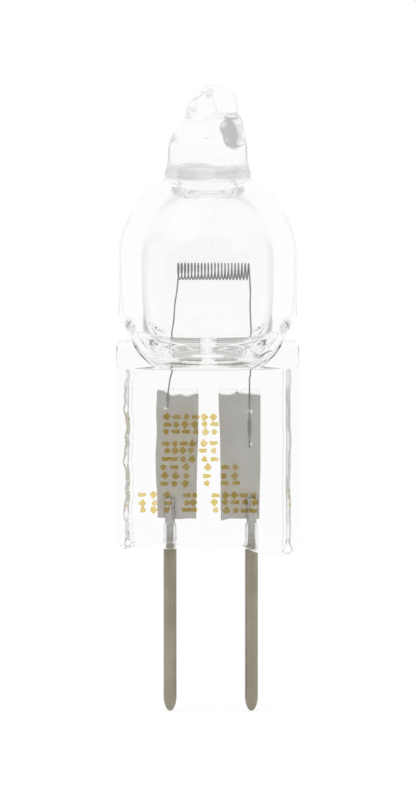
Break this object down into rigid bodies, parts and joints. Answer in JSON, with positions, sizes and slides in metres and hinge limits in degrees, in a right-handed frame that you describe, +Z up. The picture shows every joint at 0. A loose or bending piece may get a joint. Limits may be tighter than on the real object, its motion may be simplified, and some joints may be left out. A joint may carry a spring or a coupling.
{
  "type": "halogen capsule bulb",
  "caption": "Clear quartz capsule light bulb: round bulb with a melted-off tip, coiled filament on legs, foils sealed in a flat pinch, and a plug-in base of thin contact pins.",
  "frame": {"origin": "midway between the two contact pins, at the lower end of the pinch where they leave the glass", "axes": "+Z up the bulb from the pins to the melted-off tip, +X across the pinch from the left pin to the right pin, -Y out of the front flat face"},
  "size_m": [0.0089, 0.0088, 0.0308],
  "materials": {
    "quartz_glass": "clear fire-polished",
    "tungsten_wire": "drawn wire",
    "molybdenum_foil": "rolled and etched",
    "molybdenum_pin": "drawn and heat-dulled"
  },
  "bodies": {
    "root": {"quartz_envelope": "quartz_glass", "filament": "tungsten_wire", "foil_left": "molybdenum_foil", "foil_right": "molybdenum_foil", "pin_left": "molybdenum_pin", "pin_right": "molybdenum_pin"}
  },
  "joints": []
}
